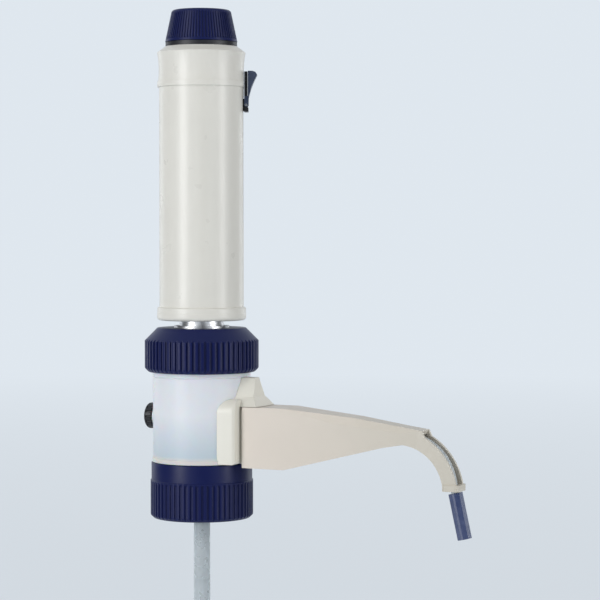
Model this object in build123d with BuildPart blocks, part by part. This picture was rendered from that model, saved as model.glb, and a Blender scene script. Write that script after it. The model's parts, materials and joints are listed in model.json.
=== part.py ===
"""A bottle-top dispenser of about 10 ml for laboratory bottles with a 45 mm thread.

All sizes are in millimetres. Z is the axis of the bottle neck, Z = 0 is the lower edge of the screw collar
and the spout points along +X. The plunger is modelled pushed down.
"""

from build123d import *
import math
import os

os.makedirs("parts", exist_ok=True)

# Clearances
running_gap = 0.3
slide_fit = 0.05
seat_gap = 0.1
cutter_margin = 2.0

# Screw collar
collar_height = 28.8
collar_rib_radius = 26.5
collar_rib_height = 19.5
collar_rib_count = 58
collar_rib_depth = 0.7
collar_band_radius = 26.05
collar_bore_radius = 22.9
collar_lip_radius = 20.3
collar_lip_thickness = 4.5
collar_edge = 1.6
collar_band_edge = 0.5

# Neck flange and rim gasket
gasket_bottom = 17.0
gasket_thickness = 1.0
gasket_inner_radius = 17.0
flange_hole_radius = 7.3
flange_screw_circle = 10.5
flange_screw_count = 3
flange_screw_turn = 90.0
screw_shank_radius = 1.25
screw_head_radius = 2.4
screw_head_height = 2.0
flange_screw_bite = 4.0

# Valve block
block_radius = 25.2
block_wall = 2.3
block_floor = 3.0
block_top = 90.0
block_floor_hole_radius = 14.0
block_lip_radius = 25.6
block_lip_height = 2.0
block_lip_slope = 0.4
block_groove_height = 72.6
block_groove_width = 0.6
block_groove_depth = 0.35

# Valve core
core_radius = 13.8
core_plate_bottom = 70.0
core_plate_top = 84.0
core_socket_bottom = 79.0
core_riser_radius = 2.5
core_chamber_top = 37.0
core_boss_gap = 1.3
core_vent_channel_radius = 1.2
core_vent_channel_offset = 10.5

# Suction valve
suction_radius = 7.0
suction_bottom = 20.0
suction_spigot_radius = 3.0
suction_spigot_bottom = 6.0
suction_port_radius = 1.6
suction_chamber_radius = 2.9
suction_seat_height = 27.0
suction_ball_radius = 2.4
ball_lift = 1.2
cage_thickness = 1.8
cage_hole_radius = 0.6
cage_hole_circle = 1.7
cage_hole_count = 4

# Filling tubes
filling_tube_radius = 4.2
filling_tube_bore = 3.1
filling_tube_bottom = -110.0
telescopic_tube_radius = 3.0
telescopic_tube_bore = 2.2
telescopic_tube_top = 3.0
telescopic_tube_bottom = -125.0
telescopic_tip_slant = 4.0

# Glass cylinder, its seal and the guide tube
barrel_bore_radius = 7.5
barrel_radius = 9.2
barrel_top = 172.0
seal_thickness = 1.5
guide_bore_radius = 9.5
guide_radius = 11.5
guide_top = 216.0
guide_foot_thickness = 7.5
guide_stop_radius = 16.9
guide_stop_thickness = 3.0

# Union nut and its guide bushing
nut_bottom = 75.3
nut_top = 98.0
nut_rib_radius = 29.4
nut_rib_top = 91.4
nut_rib_count = 61
nut_rib_depth = 0.9
nut_cone_top_radius = 22.9
nut_lower_edge = 2.2
bushing_flange_radius = 14.3
bushing_flange_thickness = 1.0
bushing_radius = 12.8
bushing_depth = 5.0

# Plunger sleeve, bottom ring and guide bush
ring_bottom = 101.9
ring_top = 108.7
ring_radius = 23.0
ring_edge = 1.6
sleeve_radius = 21.75
sleeve_wall = 2.0
sleeve_top = 221.7
ring_spigot_height = 6.0
ring_spigot_wall = 2.6
bush_radius = 14.0
bush_flange_radius = 15.6
bush_flange_thickness = 1.2
bush_height = 9.0

# Top cap
cap_bead_radius = 22.7
cap_bead_top = 224.4
cap_foot_radius = 22.3
cap_waist_radius = 21.9
cap_waist_height = 231.0
cap_flare_radius = 22.8
cap_flare_height = 239.4
cap_top_radius = 18.7
cap_top = 242.4
cap_roof = 2.4
cap_spigot_height = 5.7
cap_spigot_wall = 2.0
cap_hub_radius = 8.0
cap_hub_bottom = 224.0

# Knob, friction ring and adjusting screw
knob_ring_radius = 18.4
knob_ring_bore = 10.0
knob_ring_height = 2.2
knob_gap = 0.2
knob_bottom_radius = 18.6
knob_top_radius = 15.2
knob_top = 261.2
knob_rib_count = 72
knob_rib_depth = 0.45
knob_wall = 2.2
knob_roof = 3.0
knob_top_edge = 1.6
knob_hub_radius = 6.5
adjusting_screw_radius = 3.5
adjusting_screw_bottom = 237.5
adjusting_screw_top = 256.0

# Piston, rod and their nuts
piston_bottom = 85.0
piston_height = 14.0
piston_lip_height = 2.5
piston_lip_slope = 0.5
piston_waist_radius = 6.9
rod_radius = 4.0
rod_thread_radius = 2.5
rod_top = 236.0
clamp_radius = 6.2
clamp_height = 4.0
lock_nut_width = 12.0
lock_nut_height = 4.0

# Volume slider, its slot, lever and pin; the slider faces this way round the sleeve
slider_direction = 25.0
stroke = 57.0
slot_width = 7.0
slot_top = 216.3
neck_bottom = 209.5
neck_width = 6.4
shoe_bottom = 206.0
shoe_width = 11.0
shoe_inner_radius = 17.5
slider_width = 9.6
slider_bottom = 209.0
slider_top = 229.7
slider_back = 22.1
slider_front = 23.7
slider_foot_top = 211.1
slider_foot_front = 24.2
tongue_width = 6.0
cap_flat_offset = 21.75
cap_flat_width = 15.0
cap_flat_top = 231.5
lever_pin_radius = 0.6
lever_pin_offset = 23.15
lever_pin_height = 212.4
lever_web_bottom = 217.0
lever_round = 0.95
lever_foot = 1.1
lever_front = [(24.25, 213.0), (24.3, 216.3), (24.9, 218.4), (25.7, 221.3), (26.7, 223.8), (28.3, 227.2)]
lever_flare = [(28.7, 228.1), (27.8, 229.4), (26.3, 229.9)]
scale_strip_thickness = 0.35
scale_strip_start = 15.0
scale_strip_angle = 18.0
scale_strip_bottom = 152.0
scale_strip_top = 214.0

# Vent cap and gasket
vent_height = 51.5
vent_boss_radius = 6.3
vent_boss_front = 25.9
vent_stem_radius = 3.5
vent_stem_end = 15.0
vent_gasket_thickness = 0.7
vent_gasket_bore = 4.2
vent_cap_radius = 6.7
vent_cap_thickness = 4.2
vent_cap_edge = 1.2
vent_rib_count = 16
vent_rib_radius = 0.55

# Discharge duct and valve
duct_height = 41.0
duct_radius = 4.0
duct_bore_radius = 1.5
duct_start = 8.0
duct_boss_radius = 6.0
duct_engagement = 2.5
valve_centre = 37.0
valve_radius = 6.0
valve_bottom = 34.5
valve_seat_height = 45.5
valve_chamber_radius = 2.6
valve_port_radius = 1.3
valve_ball_radius = 2.0
valve_body_top = 53.3
valve_cap_top = 55.0
valve_socket_length = 5.0
valve_nose_radius = 3.0

# Discharge tube
tube_radius = 2.0
tube_bore_radius = 1.2
tube_start_height = 50.0
tube_bend_radius = 26.0
tube_bend_corner = (134.4, 45.6)
tube_first_radius = 60.0
tip_tilt = 12.5
tip_exit = (140.0, 20.3)
tube_end_gap = 1.0

# Closure cap
closure_width = 6.6
closure_length = 23.0
closure_bore_depth = 19.0
closure_edge = 0.6

# Spout saddle
saddle_bottom = 29.5
saddle_top = 62.5
saddle_half_width = 18.0
saddle_front = 27.5
saddle_corner = 1.5
saddle_shoulder = 7.0
saddle_back = 12.0
tab_bottom = 58.7
tab_step = 63.5
tab_top = 73.0
tab_lower = (12.0, 36.5, 10.5)
tab_middle = (11.5, 33.0, 6.5)
tab_upper = (7.6, 31.8, 2.4)
frame_depth = 5.5
frame_wall = 1.7
saddle_screw_offset = 5.5
saddle_screw_height = 49.0
saddle_screw_head_radius = 2.1

# Spout cover, its side outline and its half-widths from above
cover_start = 29.0
cover_wall = 1.6
cover_bottom = 27.7
cover_top = 58.5
cover_root_half_width = 12.0
cover_bend_half_width = 5.7
cover_tip_half_width = 5.4
cover_bend_start = 122.0
cover_shoulder = (50.0, 58.5)
cover_slope = (88.0, 54.9)
cover_top_end_height = 49.6
cover_keel = (51.5, 27.4)
cover_throat = (104.0, 40.5)
outer_bend_centre = (109.3, 17.0)
outer_bend_radius = 33.7
inner_bend_centre = (112.2, 18.9)
inner_bend_radius = 23.5
cover_bevels = ((52.0, 0.05, 0.1), (77.0, 1.3, 3.9), (114.0, 1.3, 3.0), (123.8, 0.05, 0.1))
tip_bottom = 20.3
tip_band_height = 3.2
tip_band_start = 134.9
tip_band_end = 143.9
tip_band_half_width = 6.0
tip_band_corner = 2.0
slot_start = 123.6
slot_rim_step = 2.2
slot_rim_drop_start = 0.7
slot_rim_relief = 0.5

# Heights and radii that follow from the sizes above
flange_radius = collar_bore_radius - running_gap - seat_gap
flange_bottom = gasket_bottom + gasket_thickness
lip_bottom = collar_height - collar_lip_thickness
flange_top = lip_bottom - running_gap
block_bottom = collar_height + running_gap
block_lip_top = block_bottom + block_lip_height + block_lip_slope
block_bore_radius = block_radius - block_wall
core_bottom = block_bottom + block_floor
core_plate_radius = block_bore_radius - seat_gap
guide_foot_top = core_plate_top + guide_foot_thickness
nut_bore_radius = block_radius + running_gap
nut_plate_bottom = guide_foot_top + running_gap
sleeve_bore_radius = sleeve_radius - sleeve_wall
bush_seat = ring_bottom + 2 * bush_flange_thickness
barrel_bottom = core_socket_bottom + seal_thickness
suction_ball_height = suction_seat_height + math.sqrt(suction_ball_radius**2 - suction_port_radius**2)
cage_bottom = suction_ball_height + suction_ball_radius + ball_lift + running_gap
discharge_ball_height = valve_seat_height + math.sqrt(valve_ball_radius**2 - valve_port_radius**2)
knob_ring_top = cap_top + knob_ring_height
knob_bottom = knob_ring_top + knob_gap
knob_slope = (knob_bottom_radius - knob_top_radius) / (knob_top - knob_bottom)
slider_plane = Plane.XZ.rotated((0, 0, slider_direction))
screw_places = [(-saddle_screw_offset, saddle_screw_height), (saddle_screw_offset, saddle_screw_height)]


def ribbed_ring(radius, depth, count, scale=1.0):
    """Points of a round outline with trapezoid ribs, anticlockwise from +X."""
    crest_share = 0.55
    flank_share = 0.15
    pitch = 2 * math.pi / count
    points = []
    for rib in range(count):
        start = rib * pitch
        corners = (
            (0, radius),
            (crest_share, radius),
            (crest_share + flank_share, radius - depth),
            (1 - flank_share, radius - depth),
        )
        for share, distance in corners:
            angle = start + share * pitch
            points.append((scale * distance * math.cos(angle), scale * distance * math.sin(angle)))
    return points


# Screw collar: ribbed skirt, smooth band, thread bore and the lip that pulls the neck flange down

with BuildPart() as bottle_collar:
    with BuildSketch(Plane.XY):
        Polygon(*ribbed_ring(collar_rib_radius, collar_rib_depth, collar_rib_count), align=None)
    extrude(amount=collar_rib_height)
    with BuildSketch(Plane.XZ):
        Polygon(
            (0, 0),
            (collar_rib_radius - collar_edge, 0),
            (collar_rib_radius, collar_edge),
            (collar_rib_radius, collar_rib_height),
            (0, collar_rib_height),
            align=None,
        )
    revolve(axis=Axis.Z, mode=Mode.INTERSECT)
    with BuildSketch(Plane.XY.offset(collar_rib_height)):
        Circle(collar_band_radius)
    extrude(amount=collar_height - collar_rib_height)
    band_edges = bottle_collar.edges().group_by(Axis.Z)[-1]
    chamfer(band_edges, collar_band_edge)
    with BuildSketch(Plane.XY):
        Circle(collar_bore_radius)
    extrude(amount=lip_bottom, mode=Mode.SUBTRACT)
    with BuildSketch(Plane.XY.offset(lip_bottom)):
        Circle(collar_lip_radius)
    extrude(amount=collar_lip_thickness, mode=Mode.SUBTRACT)

# Neck flange: the swivel that carries the head, held under the collar's lip

with BuildPart() as neck_flange:
    with BuildSketch(Plane.XY.offset(flange_bottom)):
        Circle(flange_radius)
    extrude(amount=flange_top - flange_bottom)
    with BuildSketch(Plane.XY.offset(flange_top)):
        Circle(collar_lip_radius - running_gap)
    extrude(amount=block_bottom - flange_top)
    with BuildSketch(Plane.XY.offset(block_bottom)):
        Circle(block_floor_hole_radius - seat_gap)
    extrude(amount=block_floor)
    with BuildSketch(Plane.XY.offset(flange_bottom)):
        Circle(flange_hole_radius)
    extrude(amount=core_bottom - flange_bottom, mode=Mode.SUBTRACT)
    with BuildSketch(Plane.XY.offset(flange_bottom)):
        with PolarLocations(flange_screw_circle, flange_screw_count, start_angle=flange_screw_turn):
            Circle(screw_head_radius + seat_gap)
    extrude(amount=screw_head_height, mode=Mode.SUBTRACT)
    with BuildSketch(Plane.XY.offset(flange_bottom)):
        with PolarLocations(flange_screw_circle, flange_screw_count, start_angle=flange_screw_turn):
            Circle(screw_shank_radius + seat_gap)
        with Locations((-core_vent_channel_offset, 0)):
            Circle(core_vent_channel_radius)
    extrude(amount=core_bottom - flange_bottom, mode=Mode.SUBTRACT)

with BuildPart() as rim_gasket:
    with BuildSketch(Plane.XY.offset(gasket_bottom)):
        Circle(flange_radius)
        Circle(gasket_inner_radius, mode=Mode.SUBTRACT)
    extrude(amount=gasket_thickness)

with BuildPart() as flange_screws:
    with BuildSketch(Plane.XY.offset(flange_bottom)):
        with PolarLocations(flange_screw_circle, flange_screw_count, start_angle=flange_screw_turn):
            Circle(screw_head_radius)
    extrude(amount=screw_head_height)
    with BuildSketch(Plane.XY.offset(flange_bottom + screw_head_height)):
        with PolarLocations(flange_screw_circle, flange_screw_count, start_angle=flange_screw_turn):
            Circle(screw_shank_radius)
    extrude(amount=core_bottom + flange_screw_bite - flange_bottom - screw_head_height)

# Valve block: the round shell between the collar and the nut

with BuildPart() as valve_block:
    with BuildSketch(Plane.XZ):
        Polygon(
            (0, block_bottom),
            (block_lip_radius, block_bottom),
            (block_lip_radius, block_bottom + block_lip_height),
            (block_radius, block_lip_top),
            (block_radius, block_groove_height),
            (block_radius - block_groove_depth, block_groove_height + block_groove_width / 2),
            (block_radius, block_groove_height + block_groove_width),
            (block_radius, block_top),
            (0, block_top),
            align=None,
        )
    revolve(axis=Axis.Z)
    with BuildSketch(Plane.YZ.offset(-vent_boss_front)):
        with Locations((0, vent_height)):
            Circle(vent_boss_radius)
    extrude(amount=vent_boss_front - core_radius)
    with BuildSketch(Plane.XY.offset(core_bottom)):
        Circle(block_bore_radius)
    extrude(amount=block_top - core_bottom, mode=Mode.SUBTRACT)
    with BuildSketch(Plane.XY.offset(block_bottom)):
        Circle(block_floor_hole_radius)
    extrude(amount=block_floor, mode=Mode.SUBTRACT)
    with BuildSketch(Plane.YZ):
        with Locations((0, duct_height)):
            Circle(duct_radius + seat_gap)
        with Locations(*screw_places):
            Circle(screw_shank_radius)
    extrude(amount=block_lip_radius, mode=Mode.SUBTRACT)
    with BuildSketch(Plane.YZ):
        with Locations((0, vent_height)):
            Circle(vent_stem_radius + running_gap)
    extrude(amount=-vent_boss_front, mode=Mode.SUBTRACT)

# Valve core: suction chamber, riser to the cylinder, outlet to the duct and vent passage

with BuildPart() as valve_core:
    with BuildSketch(Plane.XZ):
        Polygon(
            (0, core_bottom),
            (core_radius, core_bottom),
            (core_radius, core_plate_bottom),
            (core_plate_radius, core_plate_bottom),
            (core_plate_radius, core_plate_top),
            (0, core_plate_top),
            align=None,
        )
    revolve(axis=Axis.Z)
    with BuildSketch(Plane.YZ):
        with Locations((0, duct_height)):
            Circle(duct_boss_radius)
    extrude(amount=block_bore_radius - core_boss_gap)
    with BuildSketch(Plane.YZ):
        with Locations((0, vent_height)):
            Circle(vent_boss_radius)
    extrude(amount=core_boss_gap - block_bore_radius)
    with BuildSketch(Plane.XY.offset(core_bottom)):
        Circle(suction_radius + slide_fit)
    extrude(amount=core_chamber_top - core_bottom, mode=Mode.SUBTRACT)
    with BuildSketch(Plane.XY.offset(core_chamber_top)):
        Circle(core_riser_radius)
    extrude(amount=core_socket_bottom - core_chamber_top, mode=Mode.SUBTRACT)
    with BuildSketch(Plane.XY.offset(core_socket_bottom)):
        Circle(barrel_radius + seat_gap)
    extrude(amount=core_plate_top - core_socket_bottom, mode=Mode.SUBTRACT)
    with BuildSketch(Plane.YZ):
        with Locations((0, duct_height)):
            Circle(duct_bore_radius)
    extrude(amount=duct_start, mode=Mode.SUBTRACT)
    with BuildSketch(Plane.YZ.offset(duct_start)):
        with Locations((0, duct_height)):
            Circle(duct_radius + slide_fit)
    extrude(amount=block_bore_radius - duct_start, mode=Mode.SUBTRACT)
    with BuildSketch(Plane.YZ.offset(-vent_stem_end + running_gap)):
        with Locations((0, vent_height)):
            Circle(vent_stem_radius + slide_fit)
    extrude(amount=-block_bore_radius, mode=Mode.SUBTRACT)
    with BuildSketch(Plane.YZ.offset(-core_vent_channel_offset)):
        with Locations((0, vent_height)):
            Circle(core_vent_channel_radius)
    extrude(amount=core_vent_channel_offset - vent_stem_end, mode=Mode.SUBTRACT)
    with BuildSketch(Plane.XY.offset(core_bottom)):
        with Locations((-core_vent_channel_offset, 0)):
            Circle(core_vent_channel_radius)
    extrude(amount=vent_height - core_bottom, mode=Mode.SUBTRACT)
    with BuildSketch(Plane.XY.offset(core_bottom)):
        with PolarLocations(flange_screw_circle, flange_screw_count, start_angle=flange_screw_turn):
            Circle(screw_shank_radius)
    extrude(amount=flange_screw_bite, mode=Mode.SUBTRACT)

# Suction valve: body with its tube spigot, ball and cage

with BuildPart() as suction_valve_body:
    with BuildSketch(Plane.XZ):
        Polygon(
            (suction_port_radius, suction_spigot_bottom),
            (suction_spigot_radius, suction_spigot_bottom),
            (suction_spigot_radius, suction_bottom),
            (suction_radius, suction_bottom),
            (suction_radius, core_chamber_top),
            (suction_chamber_radius, core_chamber_top),
            (suction_chamber_radius, suction_seat_height),
            (suction_port_radius, suction_seat_height),
            align=None,
        )
    revolve(axis=Axis.Z)

with BuildPart() as suction_ball:
    with Locations((0, 0, suction_ball_height)):
        Sphere(suction_ball_radius)

with BuildPart() as suction_ball_cage:
    with BuildSketch(Plane.XY.offset(cage_bottom)):
        Circle(suction_chamber_radius)
        with PolarLocations(cage_hole_circle, cage_hole_count):
            Circle(cage_hole_radius, mode=Mode.SUBTRACT)
    extrude(amount=cage_thickness)

# Filling tube and the telescopic tube inside it

with BuildPart() as filling_tube:
    with BuildSketch(Plane.XY.offset(filling_tube_bottom)):
        Circle(filling_tube_radius)
        Circle(filling_tube_bore, mode=Mode.SUBTRACT)
    extrude(amount=suction_bottom - filling_tube_bottom)

with BuildPart() as telescopic_tube:
    with BuildSketch(Plane.XY.offset(telescopic_tube_bottom)):
        Circle(telescopic_tube_radius)
        Circle(telescopic_tube_bore, mode=Mode.SUBTRACT)
    extrude(amount=telescopic_tube_top - telescopic_tube_bottom)
    with BuildSketch(Plane.XZ):
        Polygon(
            (-telescopic_tube_radius, telescopic_tube_bottom),
            (2 * telescopic_tube_radius, telescopic_tube_bottom),
            (2 * telescopic_tube_radius, telescopic_tube_bottom + 1.5 * telescopic_tip_slant),
            align=None,
        )
    extrude(amount=2 * telescopic_tube_radius, both=True, mode=Mode.SUBTRACT)

# Glass cylinder, its seal and the guide tube round it

with BuildPart() as cylinder_seal:
    with BuildSketch(Plane.XY.offset(core_socket_bottom)):
        Circle(barrel_radius)
        Circle(barrel_bore_radius, mode=Mode.SUBTRACT)
    extrude(amount=seal_thickness)

with BuildPart() as glass_cylinder:
    with BuildSketch(Plane.XY.offset(barrel_bottom)):
        Circle(barrel_radius)
        Circle(barrel_bore_radius, mode=Mode.SUBTRACT)
    extrude(amount=barrel_top - barrel_bottom)

with BuildPart() as guide_tube:
    with BuildSketch(Plane.XZ):
        Polygon(
            (guide_bore_radius, core_plate_top),
            (core_plate_radius, core_plate_top),
            (core_plate_radius, guide_foot_top),
            (guide_radius, guide_foot_top),
            (guide_radius, guide_top - guide_stop_thickness),
            (guide_stop_radius, guide_top - guide_stop_thickness),
            (guide_stop_radius, guide_top),
            (guide_bore_radius, guide_top),
            align=None,
        )
    revolve(axis=Axis.Z)

# Union nut and the bushing in its top

with BuildPart() as union_nut:
    with BuildSketch(Plane.XY.offset(nut_bottom)):
        Polygon(*ribbed_ring(nut_rib_radius, nut_rib_depth, nut_rib_count), align=None)
    extrude(amount=nut_rib_top - nut_bottom)
    with BuildSketch(Plane.XZ):
        Polygon(
            (0, nut_bottom),
            (nut_rib_radius - nut_lower_edge, nut_bottom),
            (nut_rib_radius, nut_bottom + nut_lower_edge),
            (nut_rib_radius, nut_rib_top),
            (0, nut_rib_top),
            align=None,
        )
    revolve(axis=Axis.Z, mode=Mode.INTERSECT)
    with BuildSketch(Plane.XZ):
        Polygon(
            (0, nut_rib_top),
            (nut_rib_radius - nut_rib_depth / 2, nut_rib_top),
            (nut_cone_top_radius, nut_top),
            (0, nut_top),
            align=None,
        )
    revolve(axis=Axis.Z)
    with BuildSketch(Plane.XY.offset(nut_bottom)):
        Circle(nut_bore_radius)
    extrude(amount=nut_plate_bottom - nut_bottom, mode=Mode.SUBTRACT)
    with BuildSketch(Plane.XY.offset(nut_plate_bottom)):
        Circle(bushing_radius + seat_gap)
    extrude(amount=nut_top - nut_plate_bottom, mode=Mode.SUBTRACT)

with BuildPart() as guide_bushing:
    with BuildSketch(Plane.XZ):
        Polygon(
            (guide_radius + running_gap, nut_top - bushing_depth),
            (bushing_radius, nut_top - bushing_depth),
            (bushing_radius, nut_top),
            (bushing_flange_radius, nut_top),
            (bushing_flange_radius, nut_top + bushing_flange_thickness),
            (guide_radius + running_gap, nut_top + bushing_flange_thickness),
            align=None,
        )
    revolve(axis=Axis.Z)

# Plunger sleeve with the slider's slot

with BuildPart() as plunger_sleeve:
    with BuildSketch(Plane.XY.offset(ring_top)):
        Circle(sleeve_radius)
        Circle(sleeve_bore_radius, mode=Mode.SUBTRACT)
    extrude(amount=sleeve_top - ring_top)
    slot_bottom = neck_bottom - stroke - running_gap
    with BuildSketch(Plane.XY.offset(slot_bottom).rotated((0, 0, slider_direction))):
        with Locations((sleeve_radius, 0)):
            Rectangle(2 * (sleeve_wall + cutter_margin), slot_width)
    extrude(amount=slot_top - slot_bottom, mode=Mode.SUBTRACT)

with BuildPart() as bottom_ring:
    with BuildSketch(Plane.XY.offset(ring_bottom)):
        Circle(ring_radius)
    extrude(amount=ring_top - ring_bottom)
    fillet(bottom_ring.edges().filter_by(GeomType.CIRCLE), ring_edge)
    with BuildSketch(Plane.XY.offset(ring_top)):
        Circle(sleeve_bore_radius - seat_gap)
    extrude(amount=ring_spigot_height)
    with BuildSketch(Plane.XY.offset(bush_seat)):
        Circle(sleeve_bore_radius - ring_spigot_wall)
    extrude(amount=ring_top + ring_spigot_height - ring_bottom, mode=Mode.SUBTRACT)
    with BuildSketch(Plane.XY.offset(ring_bottom)):
        Circle(bush_radius + seat_gap)
    extrude(amount=ring_top - ring_bottom, mode=Mode.SUBTRACT)

with BuildPart() as guide_bush:
    with BuildSketch(Plane.XZ):
        Polygon(
            (guide_radius + slide_fit, ring_bottom),
            (bush_radius, ring_bottom),
            (bush_radius, bush_seat),
            (bush_flange_radius, bush_seat),
            (bush_flange_radius, bush_seat + bush_flange_thickness),
            (bush_radius, bush_seat + bush_flange_thickness),
            (bush_radius, ring_bottom + bush_height),
            (guide_radius + slide_fit, ring_bottom + bush_height),
            align=None,
        )
    revolve(axis=Axis.Z)

# Top cap: bead, waist, flare and sloping shoulder, with the hub that holds the piston rod

with BuildPart() as top_cap:
    with BuildSketch(Plane.XZ):
        with BuildLine():
            Polyline((0, sleeve_top), (cap_bead_radius, sleeve_top), (cap_bead_radius, cap_bead_top))
            Line((cap_bead_radius, cap_bead_top), (cap_foot_radius, cap_bead_top))
            ThreePointArc(
                (cap_foot_radius, cap_bead_top),
                (cap_waist_radius, cap_waist_height),
                (cap_flare_radius, cap_flare_height),
            )
            Polyline(
                (cap_flare_radius, cap_flare_height),
                (cap_top_radius, cap_top),
                (0, cap_top),
                (0, sleeve_top),
            )
        make_face()
    revolve(axis=Axis.Z)
    with BuildSketch(Plane.XY.offset(sleeve_top - cap_spigot_height)):
        Circle(sleeve_bore_radius - seat_gap)
    extrude(amount=cap_spigot_height)
    with BuildSketch(Plane.XY.offset(sleeve_top - cap_spigot_height)):
        Circle(sleeve_bore_radius - cap_spigot_wall)
    extrude(amount=cap_top - cap_roof - sleeve_top + cap_spigot_height, mode=Mode.SUBTRACT)
    with BuildSketch(Plane.XY.offset(cap_hub_bottom)):
        Circle(cap_hub_radius)
    extrude(amount=cap_top - cap_roof - cap_hub_bottom)
    with BuildSketch(Plane.XY.offset(cap_hub_bottom)):
        Circle(rod_radius + slide_fit)
    extrude(amount=cap_top - cap_hub_bottom, mode=Mode.SUBTRACT)
    with BuildSketch(Plane.XY.offset(sleeve_top).rotated((0, 0, slider_direction))):
        with Locations((cap_flat_offset, 0)):
            Rectangle(cap_bead_radius, cap_flat_width, align=(Align.MIN, Align.CENTER))
    extrude(amount=cap_flat_top - sleeve_top, mode=Mode.SUBTRACT)

# Friction ring, knob and adjusting screw

with BuildPart() as friction_ring:
    with BuildSketch(Plane.XY.offset(cap_top)):
        Circle(knob_ring_radius)
        Circle(knob_ring_bore, mode=Mode.SUBTRACT)
    extrude(amount=knob_ring_height)

with BuildPart() as knob:
    with BuildSketch(Plane.XY.offset(knob_bottom)):
        Polygon(*ribbed_ring(knob_bottom_radius, knob_rib_depth, knob_rib_count), align=None)
    with BuildSketch(Plane.XY.offset(knob_top)):
        knob_taper = knob_top_radius / knob_bottom_radius
        Polygon(*ribbed_ring(knob_bottom_radius, knob_rib_depth, knob_rib_count, knob_taper), align=None)
    loft(ruled=True)
    with BuildSketch(Plane.XZ):
        Polygon(
            (0, knob_bottom),
            (knob_bottom_radius + cutter_margin, knob_bottom),
            (knob_bottom_radius + cutter_margin, knob_top - knob_top_edge),
            (knob_top_radius + knob_slope * knob_top_edge, knob_top - knob_top_edge),
            (knob_top_radius - knob_top_edge, knob_top),
            (0, knob_top),
            align=None,
        )
    revolve(axis=Axis.Z, mode=Mode.INTERSECT)
    with BuildSketch(Plane.XZ):
        Polygon(
            (knob_hub_radius, knob_bottom),
            (knob_bottom_radius - knob_rib_depth - knob_wall, knob_bottom),
            (knob_top_radius - knob_rib_depth - knob_wall, knob_top - knob_roof),
            (knob_hub_radius, knob_top - knob_roof),
            align=None,
        )
    revolve(axis=Axis.Z, mode=Mode.SUBTRACT)
    with BuildSketch(Plane.XY.offset(knob_bottom)):
        Circle(adjusting_screw_radius)
    extrude(amount=adjusting_screw_top - knob_bottom, mode=Mode.SUBTRACT)

with BuildPart() as adjusting_screw:
    with BuildSketch(Plane.XY.offset(adjusting_screw_bottom)):
        Circle(adjusting_screw_radius)
    extrude(amount=adjusting_screw_top - adjusting_screw_bottom)

# Piston, its clamp, the rod and the lock nut under the cap's hub

piston_radius = barrel_bore_radius - slide_fit
piston_top = piston_bottom + piston_height

with BuildPart() as piston:
    with BuildSketch(Plane.XZ):
        Polygon(
            (0, piston_bottom),
            (piston_radius, piston_bottom),
            (piston_radius, piston_bottom + piston_lip_height),
            (piston_waist_radius, piston_bottom + piston_lip_height + piston_lip_slope),
            (piston_waist_radius, piston_top - piston_lip_height - piston_lip_slope),
            (piston_radius, piston_top - piston_lip_height),
            (piston_radius, piston_top),
            (rod_thread_radius, piston_top),
            (rod_thread_radius, piston_bottom + piston_lip_height),
            (0, piston_bottom + piston_lip_height),
            align=None,
        )
    revolve(axis=Axis.Z)

with BuildPart() as piston_clamp:
    with BuildSketch(Plane.XY.offset(piston_top)):
        Circle(clamp_radius)
        Circle(rod_thread_radius, mode=Mode.SUBTRACT)
    extrude(amount=clamp_height)

with BuildPart() as piston_rod:
    with BuildSketch(Plane.XY.offset(piston_bottom + piston_lip_height)):
        Circle(rod_thread_radius)
    extrude(amount=piston_top + clamp_height - piston_bottom - piston_lip_height)
    with BuildSketch(Plane.XY.offset(piston_top + clamp_height)):
        Circle(rod_radius)
    extrude(amount=rod_top - piston_top - clamp_height)

with BuildPart() as rod_lock_nut:
    with BuildSketch(Plane.XY.offset(cap_hub_bottom - lock_nut_height)):
        RegularPolygon(lock_nut_width / 2, 6, major_radius=False)
        Circle(rod_radius, mode=Mode.SUBTRACT)
    extrude(amount=lock_nut_height)

# Volume slider: inner shoe, neck through the slot and the outer tongue

with BuildPart() as volume_slider:
    shoe_top = slot_top - 2 * running_gap
    with BuildSketch(Plane.XY.offset(shoe_bottom).rotated((0, 0, slider_direction))):
        Circle(sleeve_bore_radius - running_gap)
        with Locations((shoe_inner_radius, 0)):
            Rectangle(sleeve_radius, shoe_width, align=(Align.MIN, Align.CENTER), mode=Mode.INTERSECT)
    extrude(amount=shoe_top - shoe_bottom)
    with BuildSketch(Plane.XY.offset(neck_bottom).rotated((0, 0, slider_direction))):
        with Locations((shoe_inner_radius, 0)):
            Rectangle(slider_back - shoe_inner_radius, neck_width, align=(Align.MIN, Align.CENTER))
    extrude(amount=shoe_top - neck_bottom)
    with BuildSketch(Plane.XY.offset(slider_bottom).rotated((0, 0, slider_direction))):
        with Locations((slider_back, 0)):
            Rectangle(slider_front - slider_back, tongue_width, align=(Align.MIN, Align.CENTER))
    extrude(amount=slider_top - slider_bottom)
    with BuildSketch(Plane.XY.offset(slider_bottom).rotated((0, 0, slider_direction))):
        with Locations((slider_back, 0)):
            Rectangle(slider_foot_front - slider_back, slider_width, align=(Align.MIN, Align.CENTER))
    extrude(amount=slider_foot_top - slider_bottom)
    with BuildSketch(slider_plane):
        with Locations((lever_pin_offset, lever_pin_height)):
            Circle(lever_pin_radius)
    extrude(amount=slider_width, both=True, mode=Mode.SUBTRACT)

with BuildPart() as lever_pin:
    with BuildSketch(slider_plane):
        with Locations((lever_pin_offset, lever_pin_height)):
            Circle(lever_pin_radius)
    extrude(amount=slider_width / 2, both=True)

# Slider lever: two cheeks on the pin and a web that leans out into the thumb flare

lever_back = slider_front + running_gap

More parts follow.
